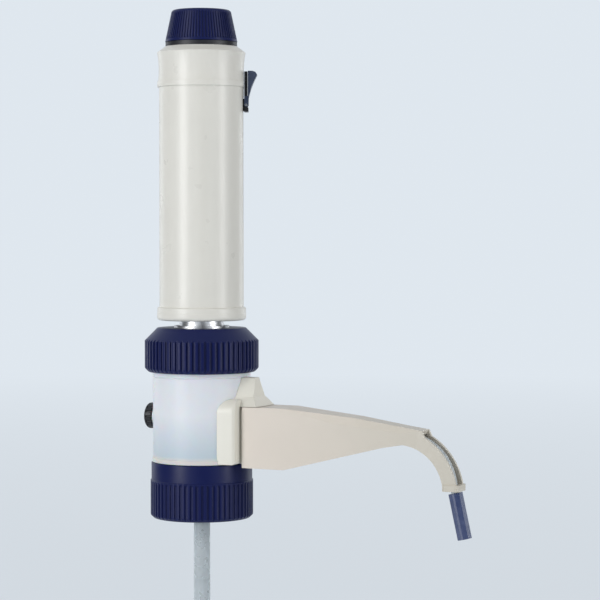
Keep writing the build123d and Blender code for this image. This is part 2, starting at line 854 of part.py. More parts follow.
with BuildPart() as slider_lever:
    with BuildSketch(slider_plane):
        with BuildLine():
            Polyline(
                (lever_pin_offset + lever_round, lever_pin_height),
                (lever_pin_offset + lever_foot, lever_pin_height),
                *lever_front,
                *lever_flare,
                (lever_back, lever_flare[-1][1]),
                (lever_back, lever_web_bottom),
                (lever_pin_offset - lever_round, lever_web_bottom),
                (lever_pin_offset - lever_round, lever_pin_height),
            )
            ThreePointArc(
                (lever_pin_offset - lever_round, lever_pin_height),
                (lever_pin_offset, lever_pin_height - lever_round),
                (lever_pin_offset + lever_round, lever_pin_height),
            )
        make_face()
    extrude(amount=slider_width / 2, both=True)
    with BuildSketch(slider_plane):
        with Locations((lever_pin_offset, lever_pin_height)):
            Circle(lever_pin_radius + slide_fit)
    extrude(amount=slider_width, both=True, mode=Mode.SUBTRACT)
    with BuildSketch(Plane.XY.offset(slider_bottom).rotated((0, 0, slider_direction))):
        with Locations((slider_back - cutter_margin, 0)):
            Rectangle(2 * slider_back, tongue_width + 2 * running_gap, align=(Align.MIN, Align.CENTER))
    extrude(amount=lever_web_bottom - slider_bottom, mode=Mode.SUBTRACT)

# Scale strip: a thin curved plate beside the slot

with BuildPart() as scale_strip:
    with BuildSketch(Plane.XY.offset(scale_strip_bottom)):
        with BuildLine():
            strip_start = slider_direction + scale_strip_start
            inner = CenterArc((0, 0), sleeve_radius, strip_start, scale_strip_angle)
            outer = CenterArc((0, 0), sleeve_radius + scale_strip_thickness, strip_start, scale_strip_angle)
            Line(inner @ 0, outer @ 0)
            Line(inner @ 1, outer @ 1)
        make_face()
    extrude(amount=scale_strip_top - scale_strip_bottom)

# Vent cap with its stem, and the gasket under it

vent_seat = vent_boss_front + vent_gasket_thickness
vent_cap_back = vent_seat + seat_gap

with BuildPart() as vent_cap:
    with BuildSketch(Plane.YZ.offset(-vent_cap_back)):
        with Locations((0, vent_height)):
            Circle(vent_cap_radius)
    extrude(amount=-vent_cap_thickness)
    front_edge = vent_cap.edges().group_by(Axis.X)[0]
    fillet(front_edge, vent_cap_edge)
    with BuildSketch(Plane.YZ.offset(-vent_cap_back)):
        with Locations((0, vent_height)):
            with PolarLocations(vent_cap_radius, vent_rib_count):
                Circle(vent_rib_radius)
    extrude(amount=-(vent_cap_thickness - vent_cap_edge), mode=Mode.SUBTRACT)
    with BuildSketch(Plane.YZ.offset(-vent_stem_end - running_gap)):
        with Locations((0, vent_height)):
            Circle(vent_stem_radius)
    extrude(amount=-(vent_cap_back - vent_stem_end - running_gap))

with BuildPart() as vent_gasket:
    with BuildSketch(Plane.YZ.offset(-vent_boss_front)):
        with Locations((0, vent_height)):
            Circle(vent_boss_radius)
            Circle(vent_gasket_bore, mode=Mode.SUBTRACT)
    extrude(amount=-vent_gasket_thickness)

# Discharge duct and valve in the spout's root

duct_end = valve_centre - valve_radius + duct_engagement

with BuildPart() as discharge_duct:
    with BuildSketch(Plane.YZ.offset(duct_start)):
        with Locations((0, duct_height)):
            Circle(duct_radius)
            Circle(duct_bore_radius, mode=Mode.SUBTRACT)
    extrude(amount=duct_end - duct_start)

with BuildPart() as discharge_valve_body:
    with BuildSketch(Plane.XY.offset(valve_bottom)):
        with Locations((valve_centre, 0)):
            Circle(valve_radius)
    extrude(amount=valve_body_top - valve_bottom)
    with BuildSketch(Plane.YZ.offset(valve_centre)):
        with Locations((0, tube_start_height)):
            Circle(valve_nose_radius)
    extrude(amount=valve_radius + valve_socket_length)
    with BuildSketch(Plane.YZ.offset(valve_centre - valve_radius)):
        with Locations((0, duct_height)):
            Circle(duct_radius + slide_fit)
    extrude(amount=duct_end - valve_centre + valve_radius, mode=Mode.SUBTRACT)
    with BuildSketch(Plane.YZ.offset(duct_end)):
        with Locations((0, duct_height)):
            Circle(duct_bore_radius)
    extrude(amount=valve_centre - duct_end + duct_bore_radius, mode=Mode.SUBTRACT)
    with BuildSketch(Plane.XY.offset(duct_height)):
        with Locations((valve_centre, 0)):
            Circle(valve_port_radius)
    extrude(amount=valve_seat_height - duct_height, mode=Mode.SUBTRACT)
    with BuildSketch(Plane.XY.offset(valve_seat_height)):
        with Locations((valve_centre, 0)):
            Circle(valve_chamber_radius)
    extrude(amount=valve_body_top - valve_seat_height, mode=Mode.SUBTRACT)
    with BuildSketch(Plane.YZ.offset(valve_centre)):
        with Locations((0, tube_start_height)):
            Circle(tube_bore_radius)
    extrude(amount=valve_radius + valve_socket_length, mode=Mode.SUBTRACT)
    with BuildSketch(Plane.YZ.offset(valve_centre + valve_radius)):
        with Locations((0, tube_start_height)):
            Circle(tube_radius + slide_fit)
    extrude(amount=valve_socket_length, mode=Mode.SUBTRACT)

with BuildPart() as discharge_ball:
    with Locations((valve_centre, 0, discharge_ball_height)):
        Sphere(valve_ball_radius)

with BuildPart() as discharge_valve_cap:
    with BuildSketch(Plane.XY.offset(valve_body_top)):
        with Locations((valve_centre, 0)):
            Circle(valve_radius)
    extrude(amount=valve_cap_top - valve_body_top)
    with BuildSketch(Plane.XY.offset(valve_body_top)):
        with Locations((valve_centre, 0)):
            Circle(valve_chamber_radius - seat_gap)
    ball_room = discharge_ball_height + valve_ball_radius + ball_lift + running_gap
    extrude(amount=-(valve_body_top - ball_room))

# Discharge tube: straight, one bend, then straight out of the tip

tip_angle = math.radians(tip_tilt)
tip_direction = Vector(math.sin(tip_angle), 0, -math.cos(tip_angle))
tip_point = Vector(tip_exit[0], 0, tip_exit[1])
closure_corner_radius = closure_width / math.sqrt(3)
closure_gap = (closure_corner_radius * math.sin(tip_angle) + running_gap) / math.cos(tip_angle)
closure_start = tip_point + tip_direction * closure_gap
closure_plane = Plane(origin=closure_start, x_dir=(0, 1, 0), z_dir=tip_direction)
tube_start = valve_centre + valve_radius
tube_end = closure_start + tip_direction * (closure_bore_depth - tube_end_gap)

with BuildPart() as discharge_tube:
    with BuildLine():
        FilletPolyline(
            (tube_start, 0, tube_start_height),
            (tube_start + valve_socket_length + tube_end_gap, 0, tube_start_height),
            (tube_bend_corner[0], 0, tube_bend_corner[1]),
            tube_end,
            radius=(tube_first_radius, tube_bend_radius),
        )
    with BuildSketch(Plane.YZ.offset(tube_start)):
        with Locations((0, tube_start_height)):
            Circle(tube_radius)
            Circle(tube_bore_radius, mode=Mode.SUBTRACT)
    sweep()

# Closure cap: a six-sided cap pushed over the end of the tube

with BuildPart() as closure_cap:
    with BuildSketch(closure_plane):
        RegularPolygon(closure_width / 2, 6, major_radius=False)
    extrude(amount=closure_length)
    chamfer(closure_cap.edges().group_by(SortBy.LENGTH)[-1], closure_edge)
    with BuildSketch(closure_plane):
        Circle(tube_radius + slide_fit)
    extrude(amount=closure_bore_depth, mode=Mode.SUBTRACT)

# Spout cover: a moulded shell that tapers, bends down and is open along the outside of the bend

tip_top = tip_bottom + tip_band_height
bend_outside = slot_start + slot_rim_step
bend_inside = inner_bend_centre[0] + slot_rim_step


def at_height(centre, radius, height):
    """The point of a circle at this height, on its +X side."""
    return (centre[0] + math.sqrt(radius**2 - (height - centre[1]) ** 2), height)


def at_distance(centre, radius, distance):
    """The point of a circle at this X, on its upper side."""
    return (distance, centre[1] + math.sqrt(radius**2 - (distance - centre[0]) ** 2))


def halfway(centre, radius, start, end):
    """The point in the middle of the arc from start to end."""
    first = math.atan2(start[1] - centre[1], start[0] - centre[0])
    last = math.atan2(end[1] - centre[1], end[0] - centre[0])
    middle = (first + last) / 2
    return (centre[0] + radius * math.cos(middle), centre[1] + radius * math.sin(middle))


def plan_outline(inset, start):
    """The cover seen from above with its sides moved in, from the root to past the tip."""
    half_widths = [
        (start, cover_root_half_width - inset),
        (cover_bend_start, cover_bend_half_width - inset),
        (tip_band_end + cutter_margin, cover_tip_half_width - inset),
    ]
    return half_widths + [(x, -half) for x, half in reversed(half_widths)]


outer_start = at_distance(outer_bend_centre, outer_bend_radius, bend_outside)
outer_end = at_height(outer_bend_centre, outer_bend_radius, tip_bottom)
outer_middle = halfway(outer_bend_centre, outer_bend_radius, outer_start, outer_end)
inner_start = at_distance(inner_bend_centre, inner_bend_radius, bend_inside)
inner_end = at_height(inner_bend_centre, inner_bend_radius, tip_bottom)
inner_middle = halfway(inner_bend_centre, inner_bend_radius, inner_end, inner_start)
top_end = (slot_start + slot_rim_drop_start, cover_top_end_height)

with BuildSketch(Plane.XZ) as cover_side:
    with BuildLine():
        Polyline((cover_start, cover_bottom), (cover_start, cover_top), cover_shoulder, cover_slope, top_end)
        Line(top_end, outer_start)
        ThreePointArc(outer_start, outer_middle, outer_end)
        Line(outer_end, inner_end)
        ThreePointArc(inner_end, inner_middle, inner_start)
        Polyline(inner_start, cover_throat, cover_keel, (cover_start, cover_bottom))
    make_face()

with BuildPart() as cover_cavity:
    with BuildSketch(Plane.XZ):
        add(cover_side.sketch)
        offset(amount=-cover_wall, kind=Kind.INTERSECTION)
        with Locations((cover_start - cutter_margin, cover_bottom + cover_wall)):
            Rectangle(
                frame_depth + cutter_margin,
                cover_top - cover_bottom - 2 * cover_wall,
                align=(Align.MIN, Align.MIN),
            )
    extrude(amount=cover_root_half_width, both=True)
    with BuildSketch(Plane.XY):
        Polygon(*plan_outline(cover_wall, cover_start - cutter_margin), align=None)
    extrude(amount=cover_top, mode=Mode.INTERSECT)


def cover_height(distance):
    """Height of the cover's top line at this X."""
    corners = [(cover_start, cover_top), cover_shoulder, cover_slope, top_end]
    for before, after in zip(corners, corners[1:]):
        if distance <= after[0]:
            share = (distance - before[0]) / (after[0] - before[0])
            return before[1] + share * (after[1] - before[1])
    return top_end[1]


def cover_half_width(distance):
    """Half the cover's width at this X, before the bend."""
    share = (distance - cover_start) / (cover_bend_start - cover_start)
    return cover_root_half_width + share * (cover_bend_half_width - cover_root_half_width)


with BuildPart() as edge_bevel:
    for station, width, drop in cover_bevels:
        half = cover_half_width(station)
        height = cover_height(station)
        with BuildSketch(Plane.YZ.offset(station)):
            Polygon(
                (half - 1.5 * width, height + 0.5 * drop),
                (half + 0.5 * width, height - 1.5 * drop),
                (half + 0.5 * width + cutter_margin, height + 0.5 * drop + cutter_margin),
                align=None,
            )
    loft(ruled=True)

slot_first = at_distance(outer_bend_centre, outer_bend_radius, slot_start)
slot_angle_start = math.degrees(
    math.atan2(slot_first[1] - outer_bend_centre[1], slot_first[0] - outer_bend_centre[0])
)
slot_angle_end = math.degrees(math.asin((tip_top - outer_bend_centre[1]) / outer_bend_radius))

with BuildPart() as spout_cover:
    with BuildSketch(Plane.XZ):
        add(cover_side.sketch)
    extrude(amount=cover_root_half_width, both=True)
    with BuildSketch(Plane.XY):
        Polygon(*plan_outline(0, cover_start), align=None)
    extrude(amount=cover_top, mode=Mode.INTERSECT)
    add(edge_bevel.part, mode=Mode.SUBTRACT)
    mirror(edge_bevel.part, about=Plane.XZ, mode=Mode.SUBTRACT)
    add(cover_cavity.part, mode=Mode.SUBTRACT)
    with BuildSketch(Plane.XZ):
        with BuildLine():
            slot_outer = CenterArc(
                outer_bend_centre,
                outer_bend_radius + cutter_margin,
                slot_angle_end,
                slot_angle_start - slot_angle_end,
            )
            slot_inner = CenterArc(
                outer_bend_centre,
                outer_bend_radius - cover_wall - slot_rim_relief,
                slot_angle_end,
                slot_angle_start - slot_angle_end,
            )
            Line(slot_outer @ 0, slot_inner @ 0)
            Line(slot_outer @ 1, slot_inner @ 1)
        make_face()
    extrude(amount=cover_tip_half_width - cover_wall, both=True, mode=Mode.SUBTRACT)
    with BuildSketch(Plane.XY.offset(tip_bottom)):
        with Locations(((tip_band_start + tip_band_end) / 2, 0)):
            RectangleRounded(tip_band_end - tip_band_start, 2 * tip_band_half_width, tip_band_corner)
    extrude(amount=tip_band_height)
    with BuildSketch(closure_plane.offset(-3 * tip_band_height)):
        Circle(tube_radius + running_gap)
    extrude(amount=4 * tip_band_height, mode=Mode.SUBTRACT)

# Spout saddle: hugs the valve block, with a tab above and a frame that carries the cover

with BuildPart() as saddle_tab:
    for height, (back_half, front, front_half) in (
        (tab_bottom, tab_lower),
        (tab_step, tab_middle),
        (tab_top, tab_upper),
    ):
        with BuildSketch(Plane.XY.offset(height)):
            Polygon(
                (saddle_back, -back_half),
                (front, -front_half),
                (front, front_half),
                (saddle_back, back_half),
                align=None,
            )
    loft(ruled=True)

frame_half_width = cover_half_width(cover_start + frame_depth) - cover_wall - seat_gap
frame_bottom = cover_bottom + cover_wall + seat_gap
frame_top = cover_top - cover_wall - seat_gap
frame_middle = (frame_bottom + frame_top) / 2

with BuildPart() as spout_saddle:
    with BuildSketch(Plane.YZ.offset(saddle_back)):
        with BuildLine():
            shoulder_start = (saddle_half_width, saddle_top - saddle_shoulder)
            shoulder_end = (saddle_half_width - saddle_shoulder, saddle_top)
            shoulder_centre = (shoulder_end[0], shoulder_start[1])
            Polyline((0, saddle_bottom), (saddle_half_width, saddle_bottom), shoulder_start)
            CenterArc(shoulder_centre, saddle_shoulder, 0, 90)
            Polyline(shoulder_end, (0, saddle_top))
            mirror(about=Plane.YZ)
        make_face()
    extrude(amount=saddle_front - saddle_back)
    fillet(spout_saddle.faces().sort_by(Axis.X)[-1].edges(), saddle_corner)
    add(saddle_tab.part)
    with BuildSketch(Plane.YZ.offset(saddle_front)):
        with Locations((0, frame_middle)):
            Rectangle(2 * frame_half_width, frame_top - frame_bottom)
            Rectangle(
                2 * (frame_half_width - frame_wall),
                frame_top - frame_bottom - 2 * frame_wall,
                mode=Mode.SUBTRACT,
            )
    extrude(amount=frame_depth)
    with BuildSketch(Plane.XY):
        Circle(block_radius + seat_gap)
    extrude(amount=block_top, mode=Mode.SUBTRACT)
    with BuildSketch(Plane.XY):
        Circle(block_lip_radius + seat_gap)
    extrude(amount=block_lip_top + seat_gap, mode=Mode.SUBTRACT)
    with BuildSketch(Plane.YZ):
        with Locations((0, duct_height)):
            Circle(duct_radius + seat_gap)
        with Locations(*screw_places):
            Circle(screw_shank_radius + seat_gap)
    extrude(amount=saddle_front, mode=Mode.SUBTRACT)

with BuildPart() as saddle_screws:
    screw_inner_end = math.sqrt(block_bore_radius**2 - saddle_screw_offset**2)
    with BuildSketch(Plane.YZ.offset(screw_inner_end)):
        with Locations(*screw_places):
            Circle(screw_shank_radius)
    extrude(amount=saddle_front - screw_inner_end)
    with BuildSketch(Plane.YZ.offset(saddle_front)):
        with Locations(*screw_places):
            Circle(saddle_screw_head_radius)
    extrude(amount=screw_head_height)

pieces = {
    "bottle_collar": bottle_collar,
    "neck_flange": neck_flange,
    "rim_gasket": rim_gasket,
    "flange_screws": flange_screws,
    "valve_block": valve_block,
    "valve_core": valve_core,
    "suction_valve_body": suction_valve_body,
    "suction_ball": suction_ball,
    "suction_ball_cage": suction_ball_cage,
    "filling_tube": filling_tube,
    "telescopic_tube": telescopic_tube,
    "cylinder_seal": cylinder_seal,
    "glass_cylinder": glass_cylinder,
    "guide_tube": guide_tube,
    "union_nut": union_nut,
    "guide_bushing": guide_bushing,
    "plunger_sleeve": plunger_sleeve,
    "bottom_ring": bottom_ring,
    "guide_bush": guide_bush,
    "top_cap": top_cap,
    "friction_ring": friction_ring,
    "knob": knob,
    "adjusting_screw": adjusting_screw,
    "piston": piston,
    "piston_clamp": piston_clamp,
    "piston_rod": piston_rod,
    "rod_lock_nut": rod_lock_nut,
    "volume_slider": volume_slider,
    "lever_pin": lever_pin,
    "slider_lever": slider_lever,
    "scale_strip": scale_strip,
    "vent_cap": vent_cap,
    "vent_gasket": vent_gasket,
    "discharge_duct": discharge_duct,
    "discharge_valve_body": discharge_valve_body,
    "discharge_ball": discharge_ball,
    "discharge_valve_cap": discharge_valve_cap,
    "discharge_tube": discharge_tube,
    "closure_cap": closure_cap,
    "spout_cover": spout_cover,
    "spout_saddle": spout_saddle,
    "saddle_screws": saddle_screws,
}
for name, piece in pieces.items():
    piece.part.label = name
    export_step(piece.part, f"parts/{name}.step")
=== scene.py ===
"""Looks of a bottle-top dispenser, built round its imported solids.

Lengths are in metres, and MM turns a size in millimetres into them. Z is the axis of the bottle neck and the
spout points along +X.
"""

import json
import math

import bmesh
import bpy
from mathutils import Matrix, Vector


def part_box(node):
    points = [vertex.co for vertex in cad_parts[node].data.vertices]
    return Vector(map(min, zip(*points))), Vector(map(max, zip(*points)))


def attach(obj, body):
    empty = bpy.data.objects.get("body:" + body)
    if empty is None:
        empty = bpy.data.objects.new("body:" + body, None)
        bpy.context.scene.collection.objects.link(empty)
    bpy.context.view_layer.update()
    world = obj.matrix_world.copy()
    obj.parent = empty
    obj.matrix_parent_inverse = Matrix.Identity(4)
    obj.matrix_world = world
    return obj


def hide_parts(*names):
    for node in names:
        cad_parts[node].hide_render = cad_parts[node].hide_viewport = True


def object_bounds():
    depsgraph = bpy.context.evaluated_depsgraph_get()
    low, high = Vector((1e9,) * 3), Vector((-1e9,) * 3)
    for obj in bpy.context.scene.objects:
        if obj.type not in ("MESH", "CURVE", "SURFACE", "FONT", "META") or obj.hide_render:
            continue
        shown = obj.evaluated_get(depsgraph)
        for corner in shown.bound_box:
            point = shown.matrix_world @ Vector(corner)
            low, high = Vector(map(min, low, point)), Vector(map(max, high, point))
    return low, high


MM = 0.001

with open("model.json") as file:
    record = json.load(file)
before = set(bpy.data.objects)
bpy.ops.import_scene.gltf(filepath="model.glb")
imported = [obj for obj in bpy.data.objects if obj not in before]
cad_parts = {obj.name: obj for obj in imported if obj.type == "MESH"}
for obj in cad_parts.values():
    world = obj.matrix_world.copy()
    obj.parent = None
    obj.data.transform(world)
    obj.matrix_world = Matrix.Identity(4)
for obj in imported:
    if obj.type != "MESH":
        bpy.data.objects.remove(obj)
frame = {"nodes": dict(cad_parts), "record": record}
cad_low, cad_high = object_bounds()
nodes = frame["nodes"]


# Camera

CAMERA_AZIMUTH = 25.0
CAMERA_DISTANCE = 1161 * MM
CAMERA_HEIGHT = 150.9 * MM
CAMERA_LENS = 135.0
CAMERA_PITCH = -1.91
CAMERA_REACH = 50.0
CAMERA_SIDESTEP = 50.75 * MM


def direction(azimuth):
    """The level direction from the object towards a place seen at this azimuth, in degrees."""
    angle = math.radians(azimuth)
    return Vector((math.sin(angle), -math.cos(angle), 0))


def make_camera():
    data = bpy.data.cameras.new("camera")
    data.lens = CAMERA_LENS
    data.clip_end = CAMERA_REACH
    camera = bpy.data.objects.new("camera", data)
    bpy.context.scene.collection.objects.link(camera)
    side = direction(CAMERA_AZIMUTH + 90)
    place = direction(CAMERA_AZIMUTH) * CAMERA_DISTANCE + side * CAMERA_SIDESTEP
    camera.location = (place.x, place.y, CAMERA_HEIGHT)
    camera.rotation_euler = (math.radians(90 + CAMERA_PITCH), 0, math.radians(CAMERA_AZIMUTH))
    bpy.context.scene.camera = camera


# Floor, background and lights

FLOOR_COLOUR = (0.74, 0.80, 0.86)
FLOOR_RADIUS = 9.0
FLOOR_SEGMENTS = 96
FLOOR_GAP = 1 * MM
FLOOR_ROUGHNESS = 0.9
FLOOR_SPECULAR = 0.1
SHADOW_SHARE = 0.3
SHADOW_FADE = (0.3, 3.0)
AMBIENT_STRENGTH = 0.38
CARD_BRIGHTNESS = 0.03
LIGHT_TARGET = Vector((0.03, 0, 0.12))

# For each soft box: its turn to the right of the camera in degrees, distance, height, size and power
LIGHTS = {
    "key_light": (-48, 1.5, 0.30, (0.55, 1.4), 15.5),
    "fill_light": (62, 1.5, 0.25, (0.45, 1.4), 10.0),
    "rim_left": (-138, 1.6, 0.20, (0.10, 1.2), 1.0),
    "rim_right": (140, 1.6, 0.20, (0.10, 1.2), 1.0),
}

# For each dark card: its turn, distance, height and size
CARDS = {
    "card_front": (8, 1.9, 0.15, (0.9, 2.2)),
    "card_left": (-95, 1.7, 0.15, (1.3, 2.2)),
    "card_right": (102, 1.7, 0.15, (1.1, 2.2)),
}


def calculated(tree, operation, first, second):
    """The output of a Math node that joins two others."""
    node = tree.nodes.new("ShaderNodeMath")
    node.operation = operation
    tree.links.new(first, node.inputs[0])
    tree.links.new(second, node.inputs[1])
    return node.outputs[0]


def show_blend(tree, factor, first, second, target):
    """Shows the first shader where the factor is 0 and the second where it is 1."""
    mix = tree.nodes.new("ShaderNodeMixShader")
    tree.links.new(factor, mix.inputs["Fac"])
    tree.links.new(first, mix.inputs[1])
    tree.links.new(second, mix.inputs[2])
    tree.links.new(mix.outputs[0], tree.nodes[target].inputs["Surface"])


def seen_background(tree):
    """A factor that is 1 for the rays that show the background, straight or through metal and glass."""
    rays = tree.nodes.new("ShaderNodeLightPath").outputs
    direct = calculated(tree, "MAXIMUM", rays["Is Camera Ray"], rays["Is Glossy Ray"])
    return calculated(tree, "MAXIMUM", direct, rays["Is Transmission Ray"])


def make_world():
    world = bpy.data.worlds.new("studio")
    bpy.context.scene.world = world
    world.use_nodes = True
    tree = world.node_tree
    ambient = tree.nodes["Background"]
    ambient.inputs["Color"].default_value = (1, 1, 1, 1)
    ambient.inputs["Strength"].default_value = AMBIENT_STRENGTH
    seen = tree.nodes.new("ShaderNodeBackground")
    seen.inputs["Color"].default_value = (*FLOOR_COLOUR, 1)
    show_blend(tree, seen_background(tree), ambient.outputs[0], seen.outputs[0], "World Output")


def paint_floor(material):
    """Paint that shows part of the object's shadow close by, and looks like the background far away."""
    material.use_nodes = True
    tree = material.node_tree
    paint = tree.nodes["Principled BSDF"]
    paint.inputs["Base Color"].default_value = (*FLOOR_COLOUR, 1)
    paint.inputs["Roughness"].default_value = FLOOR_ROUGHNESS
    paint.inputs["Specular IOR Level"].default_value = FLOOR_SPECULAR
    glow = tree.nodes.new("ShaderNodeEmission")
    glow.inputs["Color"].default_value = (*FLOOR_COLOUR, 1)
    place = tree.nodes.new("ShaderNodeTexCoord")
    length = tree.nodes.new("ShaderNodeVectorMath")
    length.operation = "LENGTH"
    tree.links.new(place.outputs["Object"], length.inputs[0])
    fade = tree.nodes.new("ShaderNodeMapRange")
    fade.inputs["From Min"].default_value, fade.inputs["From Max"].default_value = SHADOW_FADE
    fade.inputs["To Min"].default_value = 1 - SHADOW_SHARE
    tree.links.new(length.outputs["Value"], fade.inputs["Value"])
    factor = calculated(tree, "MULTIPLY", fade.outputs["Result"], seen_background(tree))
    show_blend(tree, factor, paint.outputs[0], glow.outputs[0], "Material Output")


def make_floor():
    mesh = bpy.data.meshes.new("floor")
    shape = bmesh.new()
    bmesh.ops.create_circle(shape, cap_ends=True, segments=FLOOR_SEGMENTS, radius=FLOOR_RADIUS)
    shape.to_mesh(mesh)
    shape.free()
    floor = bpy.data.objects.new("floor", mesh)
    floor.location.z = cad_low.z - FLOOR_GAP
    bpy.context.scene.collection.objects.link(floor)
    material = bpy.data.materials.new("floor_paint")
    paint_floor(material)
    mesh.materials.append(material)


def place_round(item, turn, distance, height):
    """Puts an item at this turn to the right of the camera, seen from the object, facing the light target."""
    level = direction(CAMERA_AZIMUTH + turn) * distance
    place = Vector((level.x, level.y, height))
    bpy.context.scene.collection.objects.link(item)
    item.location = place
    item.rotation_mode = "QUATERNION"
    item.rotation_quaternion = (LIGHT_TARGET - place).to_track_quat("-Z", "Y")


def make_light(name, turn, distance, height, size, power):
    """A soft box."""
    data = bpy.data.lights.new(name, "AREA")
    data.shape = "RECTANGLE"
    data.size, data.size_y = size
    data.energy = power
    place_round(bpy.data.objects.new(name, data), turn, distance, height)


def make_card(name, turn, distance, height, size):
    """A dark card that only reflections see, as photographers stand beside glossy things."""
    mesh = bpy.data.meshes.new(name)
    half_x, half_y = size[0] / 2, size[1] / 2
    corners = [(-half_x, -half_y, 0), (half_x, -half_y, 0), (half_x, half_y, 0), (-half_x, half_y, 0)]
    mesh.from_pydata(corners, [], [(0, 1, 2, 3)])
    card = bpy.data.objects.new(name, mesh)
    place_round(card, turn, distance, height)
    material = bpy.data.materials.new(name)
    material.use_nodes = True
    tree = material.node_tree
    glow = tree.nodes.new("ShaderNodeEmission")
    glow.inputs["Strength"].default_value = CARD_BRIGHTNESS
    tree.links.new(glow.outputs[0], tree.nodes["Material Output"].inputs["Surface"])
    mesh.materials.append(material)
    card.visible_camera = False
    card.visible_diffuse = False
    card.visible_shadow = False
    card.visible_transmission = False


def make_studio():
    make_world()
    make_floor()
    for name, values in LIGHTS.items():
        make_light(name, *values)
    for name, values in CARDS.items():
        make_card(name, *values)


# Materials

# Pointiness range where edges are lightened: rubbed wear together with a painted edge highlight
EDGE_WEAR_AND_SHEEN_RANGE = (0.53, 0.62)
# Span along X over which the spout cover darkens towards its tip, a painted shade
COVER_SHADE_RANGE = (35 * MM, 140 * MM)
# Heights over which the valve block turns bluish and darker downwards
BLUISH_LOWER_RANGE = (34 * MM, 54 * MM)
LIP_RANGE = (30.8 * MM, 33.0 * MM)


class Recipe:
    """A node-based material round one Principled shader, in the coordinates of the object itself."""

    def __init__(self, name, colour, roughness):
        self.material = bpy.data.materials.new(name)
        self.material.use_nodes = True
        self.tree = self.material.node_tree
        self.shader = self.tree.nodes["Principled BSDF"]
        self.colour = colour
        self.roughness = roughness
        self.place = self.tree.nodes.new("ShaderNodeTexCoord").outputs["Object"]
        self.shader.inputs["Base Color"].default_value = (*colour, 1)
        self.shader.inputs["Roughness"].default_value = roughness

    def link(self, output, socket):
        """Links an output to a socket, or to the shader's input of this name."""
        self.tree.links.new(output, self.shader.inputs[socket] if isinstance(socket, str) else socket)

    def set(self, **values):
        for socket, value in values.items():
            self.shader.inputs[socket.replace("_", " ")].default_value = value

    def stretched(self, scale):
        """The object's coordinates, stretched along its axes."""
        mapping = self.tree.nodes.new("ShaderNodeMapping")
        mapping.inputs["Scale"].default_value = scale
        self.link(self.place, mapping.inputs["Vector"])
        return mapping.outputs["Vector"]

    def noise(self, scale, detail=3.0, stretch=None):
        node = self.tree.nodes.new("ShaderNodeTexNoise")
        node.inputs["Scale"].default_value = scale
        node.inputs["Detail"].default_value = detail
        self.link(self.stretched(stretch) if stretch else self.place, node.inputs["Vector"])
        return node.outputs["Fac"]

    def ranged(self, factor, low, high, start=0.3, end=0.7):
        """The factor's range from start to end, turned into the range from low to high."""
        node = self.tree.nodes.new("ShaderNodeMapRange")
        node.inputs["From Min"].default_value = start
        node.inputs["From Max"].default_value = end
        node.inputs["To Min"].default_value = low
        node.inputs["To Max"].default_value = high
        self.link(factor, node.inputs["Value"])
        return node.outputs["Result"]

    def mixed(self, factor, first, second):
        """A colour between two, each a colour or the output of a node."""
        node = self.tree.nodes.new("ShaderNodeMix")
        node.data_type = "RGBA"
        self.link(factor, node.inputs["Factor"])
        for value, socket in ((first, node.inputs[6]), (second, node.inputs[7])):
            if isinstance(value, tuple):
                socket.default_value = (*value, 1)
            else:
                self.link(value, socket)
        return node.outputs[2]

    def band(self, axis, low, high):
        """0 up to the first place along the axis and 1 from the second on."""
        split = self.tree.nodes.new("ShaderNodeSeparateXYZ")
        self.link(self.place, split.inputs[0])
        return self.ranged(split.outputs[axis], 0, 1, low, high)

    def mottled(self, spread, scale=55.0, colour=None):
        """A colour, or else the recipe's own, with slight differences as in any moulded part."""
        colour = colour or self.colour
        darker = tuple(part * (1 - spread) for part in colour)
        lighter = tuple(min(1, part * (1 + spread)) for part in colour)
        return self.mixed(self.ranged(self.noise(scale), 0, 1), darker, lighter)

    def uneven_gloss(self, spread, scale=90.0):
        gloss = self.ranged(self.noise(scale, 4.0), self.roughness - spread, self.roughness + spread)
        self.link(gloss, "Roughness")

    def bumps(self, *layers):
        """Bumps from several textures, each a (factor, height in metres)."""
        before = None
        for factor, height in layers:
            node = self.tree.nodes.new("ShaderNodeBump")
            node.inputs["Distance"].default_value = height
            self.link(factor, node.inputs["Height"])
            if before:
                self.link(before, node.inputs["Normal"])
            before = node.outputs["Normal"]
        self.link(before, "Normal")

    def edge_wear_and_sheen(self, colour, worn_and_lit):
        """The colour, lighter in patches along sharp edges: partly rubbed wear, partly a painted highlight
        where rounded edges catch light.
        """
        geometry = self.tree.nodes.new("ShaderNodeNewGeometry")
        edge = self.ranged(geometry.outputs["Pointiness"], 0, 1, *EDGE_WEAR_AND_SHEEN_RANGE)
        patches = self.ranged(self.noise(220.0), 0, 0.6)
        return self.mixed(calculated(self.tree, "MULTIPLY", edge, patches), colour, worn_and_lit)


def moulded(name, colour, roughness, specular=0.5, worn_and_lit=None, painted_tip_shade=None):
    """Moulded plastic: mottled colour, uneven gloss, spark grain and a slow waviness.

    The optional colours are that of rubbed edges, which is also a painted highlight along the edges, and that
    of the spout's tip, where the cover is darker as painted shade.
    """
    recipe = Recipe(name, colour, roughness)
    shade = recipe.mottled(0.015)
    # Painted shade: the cover darkens along X towards the spout's tip
    if painted_tip_shade:
        tip_painted_shade_colour = recipe.mottled(0.015, colour=painted_tip_shade)
        shade = recipe.mixed(recipe.band("X", *COVER_SHADE_RANGE), shade, tip_painted_shade_colour)
    # Lighter edges: rubbed wear together with a painted highlight
    if worn_and_lit:
        shade = recipe.edge_wear_and_sheen(shade, worn_and_lit)
    recipe.link(shade, "Base Color")
    recipe.uneven_gloss(0.03)
    recipe.bumps((recipe.noise(1800.0, 2.0), 0.003 * MM), (recipe.noise(45.0, 2.0), 0.006 * MM))
    recipe.set(Specular_IOR_Level=specular)
    return recipe.material


